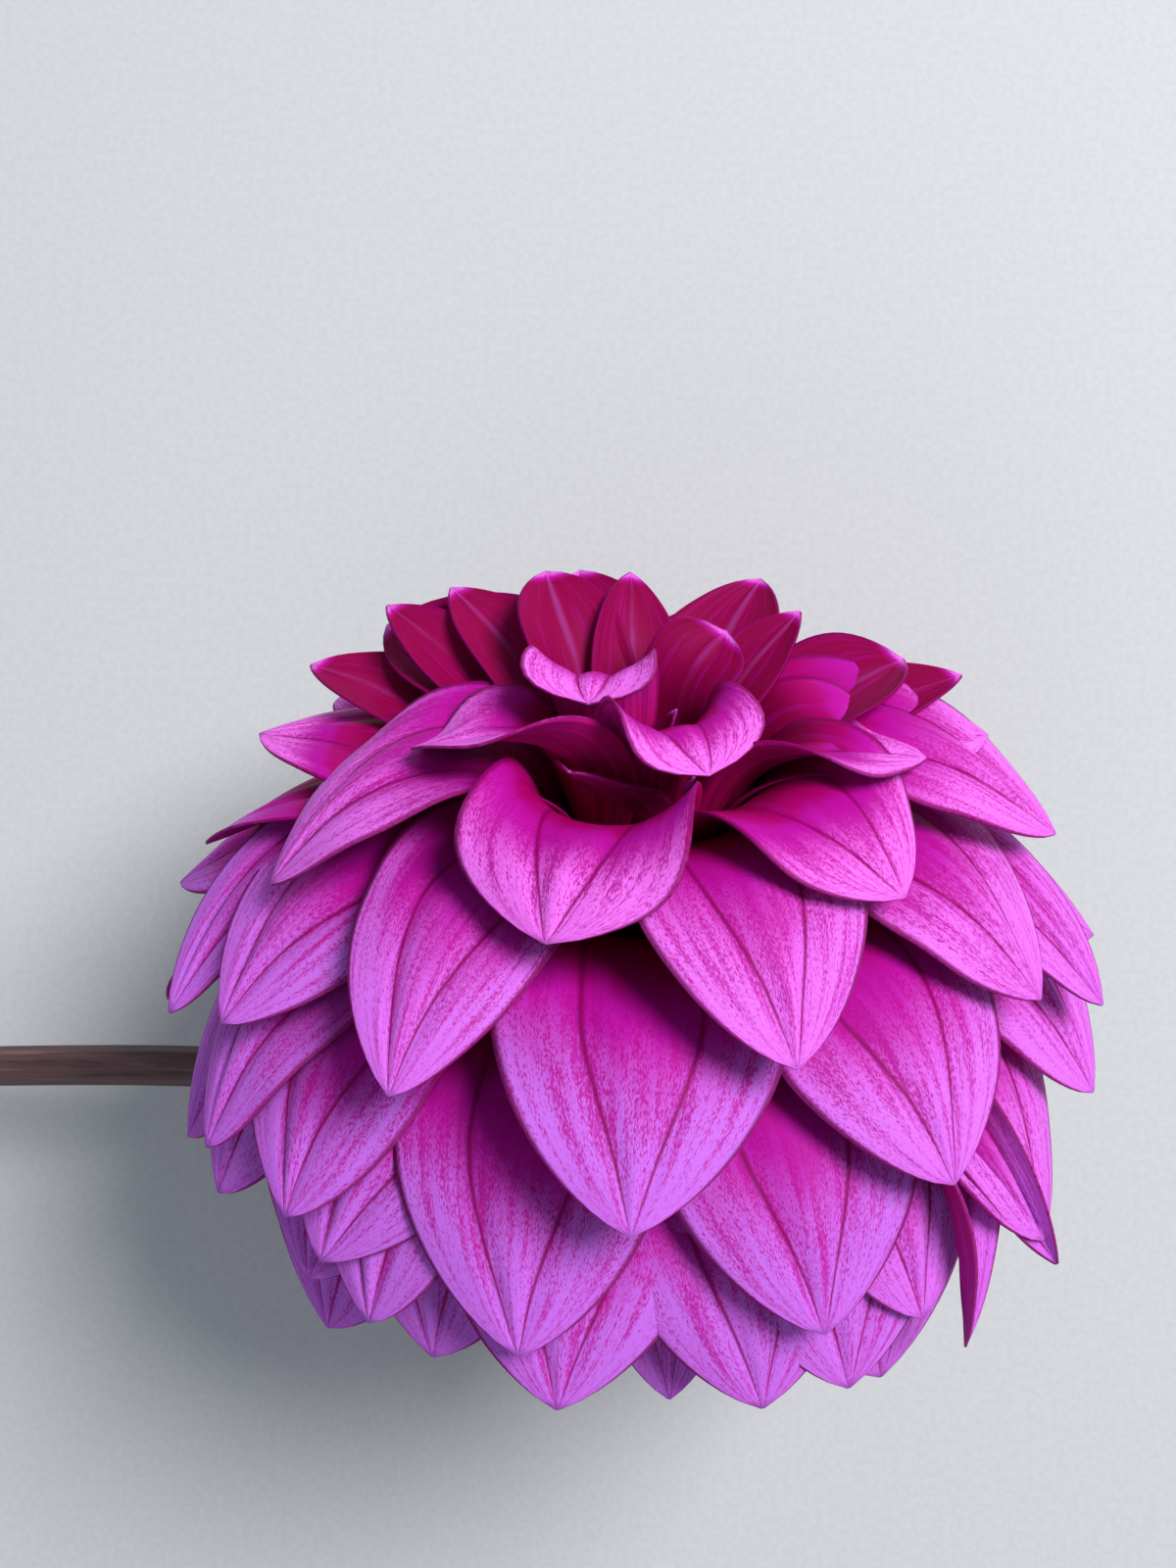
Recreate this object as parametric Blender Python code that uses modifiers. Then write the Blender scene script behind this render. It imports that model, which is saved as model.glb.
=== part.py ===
"""A cut dahlia bloom resting on its lower petals, with its stem lying to the left.

Metres, +Z up. The bloom is laid out about its own axis: `azimuth` turns round that axis, from the
side that shows, and `polar` opens from it, so 0 is the middle of the face and 180 the stem.
"""

import math

import bpy
import numpy as np
from mathutils import Matrix, Vector

MM = 0.001

# Bloom
BLOOM_RADIUS = 62 * MM
BLOOM_DEPTH = 53 * MM
BLOOM_CENTRE = Vector((69.6, -1.8, 56.5)) * MM
AXIS_FROM_VERTICAL = math.radians(50)

# Petals: rings of tips from the middle outwards, as (polar, azimuths) in degrees
PETAL_RINGS = (
    (8, (-57,)),
    (17, (22,)),
    (18, (125,)),
    (23, (-154,)),
    (30, (-80,)),
    (31, (80,)),
    (36, (-179,)),
    (38, (-17,)),
    (43, (48,)),
    (44, (127, -120)),
    (53, (-68,)),
    (54, (18,)),
    (55, (100,)),
    (56, (-155,)),
    (61, (157,)),
    (62, (-31,)),
    (63, (59, -100)),
    (69, (128,)),
    (71, (-5, -133)),
    (73, (179,)),
    (74, (-62, 88)),
    (79, (34,)),
    (81, (153,)),
    (82, (-157, -88)),
    (87, (66, -46)),
    (89, (109,)),
    (90, (-115,)),
    (92, (16, 178)),
    (97, (-18,)),
    (98, (-138,)),
    (99, (89,)),
    (104, (46, -68, 138)),
    (111, (-96, 114)),
    (112, (0, 162)),
    (118, (-44, 70)),
    (120, (28, -144)),
    (125, (146,)),
    (130, (-178,)),
)
PETAL_WIDTH = 32 * MM
INNER_PETAL_WIDTH = 17.5 * MM
CLAW_WIDTH = 2.2 * MM
PETAL_THICKNESS = 0.4 * MM
PETAL_ROOT = 0.18  # share of the bloom's radius where a petal starts
ROOT_INNER, ROOT_OUTER, MOST_POLAR = 12, 94, 127  # polar degrees of the roots and the last tip
ACROSS, ALONG = 4, 9  # faces of one petal

# Receptacle, bracts and bud, along the bloom's axis from its centre
GAP = 0.3 * MM
STEM_RADIUS = 3.2 * MM
RECEPTACLE_RADIUS = BLOOM_RADIUS * PETAL_ROOT - 1.4 * GAP
RECEPTACLE_TOP = BLOOM_DEPTH * PETAL_ROOT - 1.4 * GAP
RECEPTACLE_FOOT = -14.5 * MM
CUP_THICKNESS = 0.5 * MM
BUD_RADIUS = 1.5 * MM
BUD_LENGTH = 8 * MM
BRACT_COUNT = 5
BRACT_LENGTH, BRACT_WIDTH, BRACT_THICKNESS = 15 * MM, 6 * MM, 0.6 * MM

# Stem: it leaves along the axis, bends to the left, and runs down to its cut end on the floor
NECK_DROP = 8 * MM
NECK_BEND = 15 * MM
STEM_RUN = (-60 * MM, -18 * MM, 30 * MM)  # a place on it just outside the petals
STEM_END = (-200 * MM, -23 * MM)
STEM_POINTS = 28
FLOOR_CLEARANCE = 0.0 * MM

COLOURS = {
    "petal": (0.62, 0.06, 0.58, 1),
    "stem": (0.05, 0.035, 0.045, 1),
    "green": (0.10, 0.16, 0.04, 1),
    "bud": (0.25, 0.02, 0.12, 1),
}


def bloom_frame():
    """The bloom's own directions in the world: side, front and axis, as the columns."""
    lean = AXIS_FROM_VERTICAL
    side = Vector((1, 0, 0))
    front = Vector((0, -math.cos(lean), math.sin(lean)))
    axis = Vector((0, math.sin(lean), math.cos(lean)))
    return Matrix((side, front, axis)).transposed()


def in_world(place):
    return BLOOM_CENTRE + bloom_frame() @ Vector(place)


def blend(low, high, share):
    share = min(max(share, 0), 1)
    return low + (high - low) * share * share * (3 - 2 * share)


def midrib(polar, samples=400):
    """Distance from the axis and height along it, down the middle of a petal, evenly spaced."""
    step = np.linspace(0, 1, samples)
    tip = math.radians(polar)
    root = math.radians(ROOT_INNER + (ROOT_OUTER - ROOT_INNER) * (polar / MOST_POLAR) ** 1.7)
    bend = blend(3.2, 2.0, polar / 80)
    over = blend(1.16, 1.0, polar / 90)
    reach = PETAL_ROOT + (1 - PETAL_ROOT) * np.sin(math.pi / 2 * over * step)
    angle = root + (tip - root) * step**bend
    radial = BLOOM_RADIUS * reach * np.sin(angle)
    height = BLOOM_DEPTH * reach * np.cos(angle)
    run = np.concatenate([[0], np.cumsum(np.hypot(np.diff(radial), np.diff(height)))])
    even = np.linspace(0, run[-1], samples)
    return np.interp(even, run, radial), np.interp(even, run, height)


def petal_width(share, polar):
    """Width at a share of the length, from the claw to the pointed tip."""
    widest = blend(INNER_PETAL_WIDTH, PETAL_WIDTH, polar / 60)
    widest_at = blend(0.70, 0.56, polar / 60)
    if share < widest_at:
        return blend(CLAW_WIDTH, widest, (share / widest_at) ** blend(2.4, 1.25, polar / 75))
    past = (share - widest_at) / (1 - widest_at)
    return max(widest * (1 - past * past) ** 0.8, 0.6 * MM)


def petal_curl(share, polar):
    """Half the angle that the petal's section turns through: a channel at the claw, flat at the tip."""
    channel = blend(1.25, 0.75, polar / 90)
    return blend(channel, blend(0.25, 0.05, polar / 70), (share - 0.25) / 0.6)


def petal_point(across, along, polar, azimuth):
    """A point of the petal's middle surface. `across` runs from -1 to 1 and `along` from 0 to 1."""
    radial, height = midrib(polar)
    at = along * (len(radial) - 1)
    low = min(int(at), len(radial) - 2)
    part = at - low
    r = radial[low] + (radial[low + 1] - radial[low]) * part
    h = height[low] + (height[low + 1] - height[low]) * part
    slope_r, slope_h = radial[low + 1] - radial[low], height[low + 1] - height[low]
    size = math.hypot(slope_r, slope_h)
    normal_r, normal_h = -slope_h / size, slope_r / size
    half = petal_width(along, polar) / 2
    curl = petal_curl(along, polar) - half * normal_r / max(r, 1.5 * half)
    curl = curl if abs(curl) > 0.01 else 0.01
    sideways = half * math.sin(across * curl) / curl
    lift = half * (1 - math.cos(across * curl)) / curl
    r += normal_r * lift
    h += normal_h * lift
    turn = math.radians(azimuth)
    return Vector(
        (
            r * math.sin(turn) + sideways * math.cos(turn),
            r * math.cos(turn) - sideways * math.sin(turn),
            h,
        )
    )


def rest_on_floor(point):
    """Presses a point that would dip below the floor flat onto it."""
    lowest = PETAL_THICKNESS / 2 + FLOOR_CLEARANCE
    return Vector((point.x, point.y, max(point.z, lowest)))


def material(name):
    found = bpy.data.materials.get(name)
    if found:
        return found
    made = bpy.data.materials.new(name)
    made.use_nodes = True
    shader = made.node_tree.nodes["Principled BSDF"]
    shader.inputs["Base Color"].default_value = COLOURS[name]
    shader.inputs["Roughness"].default_value = 0.55
    shader.inputs["Metallic"].default_value = 0.0
    return made


def finish(obj, name, colour, collection):
    """Names the object, gives it its material and smooth shading, and files it."""
    obj.name = name
    obj.data.name = name
    if obj.type == "MESH":
        obj.data.materials.clear()
    obj.data.materials.append(material(colour))
    for old in obj.users_collection:
        old.objects.unlink(obj)
    collection.objects.link(obj)
    if obj.type == "MESH":
        obj.data.shade_smooth()
        obj.data.set_sharp_from_angle(angle=math.radians(40))
    return obj


def solidify(obj, thickness):
    shell = obj.modifiers.new("thickness", "SOLIDIFY")
    shell.thickness = thickness
    shell.offset = 0
    shell.use_even_offset = False


def petal(name, polar, azimuth, collection):
    bpy.ops.mesh.primitive_grid_add(x_subdivisions=ACROSS, y_subdivisions=ALONG, size=2)
    obj = bpy.context.object
    for vertex in obj.data.vertices:
        across, along = vertex.co.x, (vertex.co.y + 1) / 2
        place = petal_point(across, along, polar, azimuth)
        vertex.co = rest_on_floor(in_world(place))
    solidify(obj, PETAL_THICKNESS)
    return finish(obj, name, "petal", collection)


def petals(collection):
    count = 0
    for polar, azimuths in PETAL_RINGS:
        for azimuth in azimuths:
            count += 1
            petal(f"petal_{count:02d}", polar, azimuth, collection)


def turned(name, profile, colour, collection, steps=20):
    """A solid turned about the bloom's axis from (radius, height) points."""
    curve = bpy.data.meshes.new(name)
    points = [(radius, 0, height) for radius, height in profile]
    curve.from_pydata(points, [(i, i + 1) for i in range(len(points) - 1)], [])
    obj = bpy.data.objects.new(name, curve)
    collection.objects.link(obj)
    obj.matrix_world = Matrix.Translation(BLOOM_CENTRE) @ bloom_frame().to_4x4()
    screw = obj.modifiers.new("turn", "SCREW")
    screw.steps = screw.render_steps = steps
    screw.use_merge_vertices = True
    screw.merge_threshold = 0.00001
    screw.use_normal_calculate = True
    return finish(obj, name, colour, collection)


def arc(radius, depth, start, end, count):
    """Points of an ellipse quarter, with angles measured from the axis in degrees."""
    angles = [math.radians(start + (end - start) * i / count) for i in range(count + 1)]
    return [(radius * math.sin(a), depth * math.cos(a)) for a in angles]


def receptacle_side():
    """The receptacle's flank below its widest ring, down to the top of the stem."""
    return [
        (0.86 * RECEPTACLE_RADIUS, 0.35 * RECEPTACLE_FOOT),
        (0.60 * RECEPTACLE_RADIUS, 0.66 * RECEPTACLE_FOOT),
        (0.40 * RECEPTACLE_RADIUS, 0.86 * RECEPTACLE_FOOT),
        (STEM_RADIUS, RECEPTACLE_FOOT),
    ]


def receptacle(collection):
    profile = arc(RECEPTACLE_RADIUS, RECEPTACLE_TOP, 0, 96, 7) + receptacle_side()
    turned("receptacle", profile + [(0, RECEPTACLE_FOOT)], "green", collection)


def center_bud(collection):
    middle = RECEPTACLE_TOP + GAP + BUD_LENGTH / 2
    points = arc(BUD_RADIUS, BUD_LENGTH / 2, 0, 180, 8)
    turned("center_bud", [(r, h + middle) for r, h in points], "bud", collection, 10)


def bract_cup(collection):
    """The inner bracts, joined at their base: a thin cup round the receptacle's flank."""
    off = GAP + CUP_THICKNESS
    flank = [(r + off, h - 0.4 * off) for r, h in receptacle_side()[:3]]
    rim = (flank[0][0] + 5 * MM, flank[0][1] + 0.5 * MM)
    obj = turned("inner_bract_cup", [rim] + flank, "green", collection)
    solidify(obj, CUP_THICKNESS)


def outer_bract(name, azimuth, collection):
    """One of the small green leaves behind the cup: rounded, and turned a little backwards."""
    bpy.ops.mesh.primitive_grid_add(x_subdivisions=ACROSS, y_subdivisions=6, size=2)
    obj = bpy.context.object
    turn = Matrix.Rotation(-math.radians(azimuth), 3, "Z")
    for vertex in obj.data.vertices:
        along = (vertex.co.y + 1) / 2
        width = BRACT_WIDTH * (0.35 + 0.65 * math.sin(math.pi * min(along + 0.1, 1) ** 0.9))
        out = STEM_RADIUS + 3.2 * GAP + BRACT_LENGTH * along
        drop = RECEPTACLE_FOOT + 0.4 * MM - 3 * MM * along * along
        place = Vector((vertex.co.x * width / 2, out, drop))
        vertex.co = in_world(turn @ place)
    solidify(obj, BRACT_THICKNESS)
    return finish(obj, name, "green", collection)


def outer_bracts(collection):
    for index in range(BRACT_COUNT):
        outer_bract(f"outer_bract_{index + 1}", 360 * (index + 0.5) / BRACT_COUNT, collection)


def stem_route():
    """The stem's middle line, from the receptacle to the cut end, through a few places."""
    foot = RECEPTACLE_FOOT - GAP
    top = in_world((0, 0, foot))
    neck = in_world((0, 0, foot - NECK_DROP))
    turned_left = in_world((-NECK_BEND, 0, foot - NECK_DROP - 0.8 * NECK_BEND))
    run = Vector((BLOOM_CENTRE.x + STEM_RUN[0], STEM_RUN[1], STEM_RUN[2]))
    rest = STEM_RADIUS + FLOOR_CLEARANCE
    end = Vector((BLOOM_CENTRE.x + STEM_END[0], STEM_END[1], rest))
    return smooth_curve([top, neck, turned_left, run, end], STEM_POINTS)


def smooth_curve(places, count):
    """Evenly spaced points of the cubic curve that runs smoothly through the places."""
    ahead = [b - a for a, b in zip(places, places[1:])]
    slopes = [ahead[0]]
    for before, after in zip(ahead, ahead[1:]):
        shorter = min(before.length, after.length)
        slopes.append((before.normalized() + after.normalized()) / 2 * shorter * 1.2)
    slopes.append(ahead[-1])
    fine = []
    for i in range(len(ahead)):
        for step in range(40):
            t = step / 40
            hold = (1 + 2 * t) * (1 - t) ** 2
            at = places[i] * hold + places[i + 1] * (1 - hold)
            leave = slopes[i] * t * (1 - t) ** 2
            arrive = slopes[i + 1] * t * t * (t - 1)
            fine.append(at + leave + arrive)
    fine.append(places[-1])
    run = [0.0]
    for a, b in zip(fine, fine[1:]):
        run.append(run[-1] + (b - a).length)
    even = np.linspace(0, run[-1], count)
    axes = [np.interp(even, run, [point[axis] for point in fine]) for axis in range(3)]
    return [Vector(point) for point in zip(*axes)]


def stem(collection):
    curve = bpy.data.curves.new("stem", "CURVE")
    curve.dimensions = "3D"
    curve.bevel_depth = STEM_RADIUS
    curve.bevel_resolution = 2
    curve.use_fill_caps = True
    route = stem_route()
    spline = curve.splines.new("POLY")
    spline.points.add(len(route) - 1)
    for point, place in zip(spline.points, route):
        point.co = (*place, 1)
    obj = bpy.data.objects.new("stem", curve)
    collection.objects.link(obj)
    finish(obj, "stem", "stem", collection)


def main():
    for obj in list(bpy.data.objects):
        bpy.data.objects.remove(obj)
    collection = bpy.data.collections.new("dahlia")
    bpy.context.scene.collection.children.link(collection)
    petals(collection)
    receptacle(collection)
    center_bud(collection)
    bract_cup(collection)
    outer_bracts(collection)
    stem(collection)


main()
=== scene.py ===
"""The looks of a cut dahlia: every petal, bract and bud and the stem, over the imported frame."""

import math

import bpy
import numpy as np
from bpy.props import FloatProperty, FloatVectorProperty, IntProperty, PointerProperty
from bpy.types import Operator, Panel, PropertyGroup
from mathutils import Matrix, Vector


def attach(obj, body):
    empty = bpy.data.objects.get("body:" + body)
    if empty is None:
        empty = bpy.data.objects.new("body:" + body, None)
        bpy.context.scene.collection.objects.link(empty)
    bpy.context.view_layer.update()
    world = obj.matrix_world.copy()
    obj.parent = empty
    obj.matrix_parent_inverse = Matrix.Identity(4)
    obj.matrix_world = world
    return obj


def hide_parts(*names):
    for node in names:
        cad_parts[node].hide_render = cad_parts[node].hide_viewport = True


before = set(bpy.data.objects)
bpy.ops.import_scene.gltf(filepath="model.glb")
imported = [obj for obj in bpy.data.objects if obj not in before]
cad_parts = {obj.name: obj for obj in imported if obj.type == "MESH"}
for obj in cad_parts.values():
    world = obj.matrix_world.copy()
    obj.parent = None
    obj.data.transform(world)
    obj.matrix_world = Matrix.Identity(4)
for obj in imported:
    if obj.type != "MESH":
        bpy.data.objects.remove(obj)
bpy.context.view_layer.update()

bl_info = {
    "name": "Dahlia Bloom",
    "version": (1, 0, 0),
    "blender": (4, 5, 0),
    "location": "View3D > Sidebar > Dahlia",
    "description": "Builds a fully double dahlia on its cut stem, petal by petal",
    "category": "Add Mesh",
}

MM = 0.001

# The bloom's own axis and centre, as the frame was built
BLOOM_RADIUS = 62 * MM
BLOOM_DEPTH = 53 * MM
BLOOM_CENTRE = Vector((69.6, -1.8, 56.5)) * MM
AXIS_FROM_VERTICAL = math.radians(50)
BROADER = 1.04  # the bloom is a little broader across than it is high
PETAL_ROOT = 0.17  # share of the bloom's radius where a petal starts, just inside the receptacle
ROOT_INNER, ROOT_OUTER, MOST_POLAR = 14, 90, 127  # polar degrees of the roots and of the last tip
FLATTEST = 0.01  # radians of curl that stand for a flat section
LEAST_WIDTH = 0.3 * MM  # of a petal, at its very tip

# Receptacle, bracts, bud and stem, along the bloom's axis from its centre, as in the frame
GAP = 0.3 * MM
STEM_RADIUS = 3.2 * MM
RECEPTACLE_RADIUS = BLOOM_RADIUS * 0.18 - 1.4 * GAP
RECEPTACLE_TOP = BLOOM_DEPTH * 0.18 - 1.4 * GAP
RECEPTACLE_FOOT = -14.5 * MM
NECK_DROP = 8 * MM
NECK_BEND = 15 * MM
STEM_RUN = (-60 * MM, -18 * MM, 30 * MM)
STEM_END = (-200 * MM, -23 * MM)
SKIN_SHARE = 0.90  # share of the stem's grid that is its outside; the rest is the cut face and the hollow
CUT_FACE_SHARE = 0.35  # share of that rest that is the flat cut face

# Petals, one for each of the frame's and in its order, from the middle outwards:
# polar and azimuth of the tip in degrees, then what sets the petal apart
PETALS = (
    (5, -6, {"reach": 0.97, "fold": 0.86, "span": 0.22, "turn": 112, "cup": 0.75, "lean": -6 * MM}),
    (17, 24, {"reach": 0.96, "fold": 0.84, "span": 0.26, "turn": 112, "cup": 0.9}),
    (13, 132, {"reach": 1.01, "kind": "upright", "turn": 60, "fold": 0.85, "span": 0.25, "twist": 20}),
    (25, -155, {"reach": 1.07, "kind": "upright", "turn": 56, "fold": 0.74, "span": 0.5, "sway": -12}),
    (27, -72, {"reach": 1.0, "turn": 85, "fold": 0.74, "span": 0.45, "twist": 38}),
    (33, 78, {"reach": 1.0, "turn": 85, "fold": 0.74, "span": 0.5, "twist": -20, "width": 0.95}),
    (23, -178, {"reach": 1.05, "kind": "upright", "width": 0.62, "turn": 52, "twist": 18}),
    (38, -17, {"reach": 0.97, "turn": 108, "fold": 0.74, "cup": 0.98}),
    (40, 46, {"reach": 0.98, "turn": 105, "fold": 0.70, "cup": 0.72, "width": 0.92}),
    (
        33,
        110,
        {"reach": 1.04, "kind": "upright", "width": 0.85, "turn": 56, "fold": 0.74, "span": 0.5, "sway": 9},
    ),
    (40, -128, {"reach": 1.05, "kind": "upright", "width": 0.85, "twist": -25, "sway": 16, "turn": 62}),
    (49, -66, {"width": 0.85, "cup": 0.72, "twist": 16}),
    (52, 18, {"width": 0.9}),
    (42, 94, {"reach": 1.03, "width": 0.85, "turn": 80}),
    (48, -150, {"kind": "upright"}),
    (50, 158, {"kind": "upright"}),
    (59, -31, {"width": 0.78}),
    (60, 56, {"width": 0.9}),
    (50, -102, {"reach": 1.04, "width": 0.85, "turn": 75, "twist": 14}),
    (60, 130, {"width": 0.9}),
    (69, -2, {"width": 1.03}),
    (64, -133, {"width": 0.9}),
    (68, 179, {}),
    (65, -58, {"reach": 1.01, "width": 0.9}),
    (74, 84, {"reach": 0.98, "width": 0.9}),
    (72, 34, {"width": 1.0}),
    (78, 153, {}),
    (79, -157, {}),
    (78, -76, {"reach": 1.0, "width": 0.8, "twist": 45}),
    (78, 60, {"reach": 1.01, "width": 0.85}),
    (82, -41, {"width": 0.95}),
    (86, 109, {}),
    (88, -112, {"twist": 15}),
    (87, 18, {"width": 1.0}),
    (90, 178, {}),
    (89, -13, {"width": 1.0}),
    (97, -138, {}),
    (96, 84, {}),
    (88, 45, {"reach": 1.04, "width": 0.9}),
    (94, -66, {"width": 0.9}),
    (103, 138, {}),
    (109, -96, {}),
    (110, 114, {}),
    (106, 3, {"reach": 0.95, "width": 0.6}),
    (111, 162, {}),
    (112, -42, {}),
    (114, 68, {}),
    (112, 30, {}),
    (119, -144, {}),
    (124, 146, {}),
    (129, -178, {}),
)

# Petals that fill the bloom between those
MORE_PETALS = (
    (23, 128, {"reach": 1.05, "kind": "upright", "width": 0.55}),
    (32, -137, {"reach": 1.08, "kind": "upright", "width": 0.6}),
    (36, -126, {"reach": 1.10, "kind": "upright", "width": 0.5}),
    (45, -115, {"reach": 1.07, "kind": "upright", "width": 0.6}),
    (38, 104, {"reach": 1.08, "kind": "upright", "width": 0.5}),
    (33, 152, {"reach": 1.05, "kind": "upright", "width": 0.7}),
    (34, -168, {"reach": 1.04, "kind": "upright", "width": 0.7}),
    (60, -88, {"reach": 1.01, "width": 0.7, "turn": 90, "twist": 40}),
    (51, 79, {"reach": 1.04, "width": 0.8}),
    (67, 64, {"reach": 1.04, "width": 0.6, "twist": 15}),
    (88, -37, {"reach": 0.98, "width": 0.9, "sway": 0}),
    (93, -30, {"reach": 1.0, "width": 0.9}),
    (92, 30, {"reach": 1.0, "width": 0.9}),
    (98, -9, {"reach": 1.02, "width": 1.0}),
    (99, 12, {"reach": 1.02, "width": 1.0}),
    (80, -53, {"reach": 1.03, "width": 0.8}),
    (92, 46, {"reach": 1.07, "kind": "ribbon", "width": 0.32, "twist": 50, "sway": 6}),
    (97, 34, {"reach": 1.06, "kind": "ribbon", "width": 0.45, "twist": -30, "sway": -12}),
    (72, -68, {"reach": 1.03, "width": 0.55, "turn": 105, "twist": -20}),
    (15, -36, {"reach": 0.90, "kind": "upright", "width": 0.85, "turn": 40}),
    (24, 8, {"reach": 0.84, "kind": "upright", "width": 0.85, "turn": 40}),
    (26, -46, {"reach": 0.88, "kind": "upright", "width": 0.8, "turn": 40}),
    (27, 52, {"reach": 0.88, "kind": "upright", "width": 0.8, "turn": 40}),
    (92, -55, {"reach": 1.0}),
    (97, -41, {"reach": 0.97}),
    (100, -24, {"reach": 0.97}),
    (98, 21, {"reach": 1.03}),
    (72, -92, {"reach": 1.01, "twist": 12}),
)

YOUNG_FLORETS = 7  # small unopened florets round the bud

CAMERA_TILT = math.radians(2)  # from straight down
CAMERA_SIDE = -0.03  # from the bloom's centre, to the right and up, as shares of the view's height
CAMERA_UP = 0.125


def blend(low, high, share):
    """Smoothly from low to high as share goes from 0 to 1."""
    share = np.clip(share, 0, 1)
    return low + (high - low) * share * share * (3 - 2 * share)


def bloom_frame():
    """The bloom's own directions in the world: side, front and axis, as the columns."""
    lean = AXIS_FROM_VERTICAL
    side = Vector((1, 0, 0))
    front = Vector((0, -math.cos(lean), math.sin(lean)))
    axis = Vector((0, math.sin(lean), math.cos(lean)))
    return Matrix((side, front, axis)).transposed()


def in_world(places):
    """Bloom places, as rows, moved to where the bloom lies."""
    return np.asarray(places) @ np.array(bloom_frame()).T + np.array(BLOOM_CENTRE)


class PetalShape:
    """One petal: where its tip is, and how it differs from its neighbours."""

    def __init__(self, polar, azimuth, seed, changes):
        self.polar = polar
        self.azimuth = azimuth
        self.seed = seed
        self.kind = "open"  # or "upright", which stays narrow and folded lengthwise, or "ribbon"
        self.reach = 1.0  # share of the bloom's radius at which the tip ends
        self.width = 1.0  # share of the usual width
        self.cup = 1.0  # share of the usual channel
        self.lean = 0.0  # how far the petal leans to the bloom's side, at the height of its top
        hang = -0.36 * azimuth * blend(0, 1, (polar - 25) / 25) * blend(1, 0, (abs(azimuth) - 60) / 50)
        self.sway = hang + 3 * math.sin(2.3 * seed)  # degrees that the tip swings round the bloom
        self.twist = 7 * math.sin(1.7 * seed + 1)  # degrees that the blade rolls to one side
        self.root = ROOT_INNER + (ROOT_OUTER - ROOT_INNER) * (polar / MOST_POLAR) ** 2.2
        self.turn = blend(118, 82, (polar - 25) / 80)  # degrees that the midrib bends in all
        self.fold = blend(0.76, 0.52, (polar - 20) / 45)  # where along it bends most
        self.span = blend(0.40, 0.85, (polar - 20) / 50)  # the stretch that bends
        if changes.get("kind") == "upright":
            self.turn, self.fold, self.span, self.width = 48, 0.62, 0.7, 0.7
        if changes.get("kind") == "ribbon":
            self.turn = 95
        for name, value in changes.items():
            setattr(self, name, value)

    @property
    def opening(self):
        """Share of the length at which the channel gives way to the blade."""
        return 0.97 if self.kind == "upright" else float(self.fold - 0.03)

    @property
    def crimson_and_shade_end(self):
        """Share of the length that stays crimson: most of it on the left and at the back, where it is partly
        the petals' own crimson and partly painted shade.
        """
        if self.kind == "upright":
            return self.opening
        shaded = max(blend(0, 1, (-self.azimuth - 70) / 14), 0.6 * blend(0, 1, (self.azimuth - 90) / 20))
        return float(self.opening + 0.07 * self.rightwards + 0.7 * (0.9 - self.opening) * shaded)

    @property
    def rightwards(self):
        """0 for petals on the left and 1 for those well to the right of the front."""
        return blend(0, 1, (self.azimuth - 12) / 30)

    @property
    def tone(self):
        """0 for a magenta petal and 1 for a lilac one: the lower and outer petals are paler."""
        if self.kind == "upright" or abs(self.azimuth) > 95:
            return 0.1
        return float(blend(0.25, 1.0, (self.polar - 35) / 40) * (1 - 0.35 * self.rightwards))

    def midrib(self, samples=400):
        """Distance from the axis and height along it, down the petal's middle, evenly spaced."""
        # Drawn upright from its root first, with its bend, and then turned and stretched to reach its tip
        along = np.linspace(0, 1, samples)
        heading = np.radians(self.turn) * blend(0, 1, (along - self.fold) / self.span + 0.5)
        steps = np.sin(heading) + 1j * np.cos(heading)
        drawn = np.concatenate([[0], np.cumsum((steps[1:] + steps[:-1]) / 2)])
        root, tip = math.radians(self.root), math.radians(self.polar)
        start = PETAL_ROOT * complex(BLOOM_RADIUS * math.sin(root), BLOOM_DEPTH * math.cos(root))
        end = self.reach * complex(BLOOM_RADIUS * math.sin(tip), BLOOM_DEPTH * math.cos(tip))
        line = start + (end - start) * drawn / drawn[-1]
        return line.real, line.imag

    def half_width(self, along, look):
        """Half the petal's width along its length: a narrow claw, a broad blade and a pointed tip."""
        widest = blend(look.inner_width, look.width, (self.polar - 5) / 55) * self.width
        widest_at = self.fold + blend(0.04, 0.0, self.polar / 60)
        rise = np.clip(along / (widest_at - 0.06), 0, 1) ** blend(1.35, 0.85, self.polar / 60)
        past = np.clip((along - widest_at) / (1 - widest_at), 0, 1)
        blade = widest * (1 - past**2.5) ** 0.80
        whole = np.where(along < widest_at, blend(look.claw_width, widest, rise), blade)
        return np.maximum(whole, LEAST_WIDTH) / 2

    def curl(self, along):
        """Half the angle that the section turns through: a channel at the claw, open at the tip."""
        if self.kind == "upright":
            return blend(1.15, 0.62, (along - 0.2) / 0.8) * self.cup
        if self.kind == "ribbon":
            return blend(1.0, 1.3, along)
        channel = blend(1.42, 0.62, self.polar / 85) * self.cup
        blade = blend(0.10, -0.16, self.polar / 60)
        late = blend(0.0, 1.0, (self.polar - 25) / 40)
        return blend(channel, blade, (along - self.fold + 0.06 + 0.16 * late) / (0.24 + 0.18 * late))

    def places(self, across, along, look):
        """Points of the petal's middle surface, for arrays of across (-1 to 1) and along (0 to 1)."""
        radial, height = self.midrib()
        stations = np.linspace(0, 1, len(radial))
        r = np.interp(along, stations, radial)
        h = np.interp(along, stations, height)
        slope_r = np.interp(along, stations, np.gradient(radial))
        slope_h = np.interp(along, stations, np.gradient(height))
        size = np.hypot(slope_r, slope_h)
        normal_r, normal_h = -slope_h / size, slope_r / size
        half = self.half_width(along, look)
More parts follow.
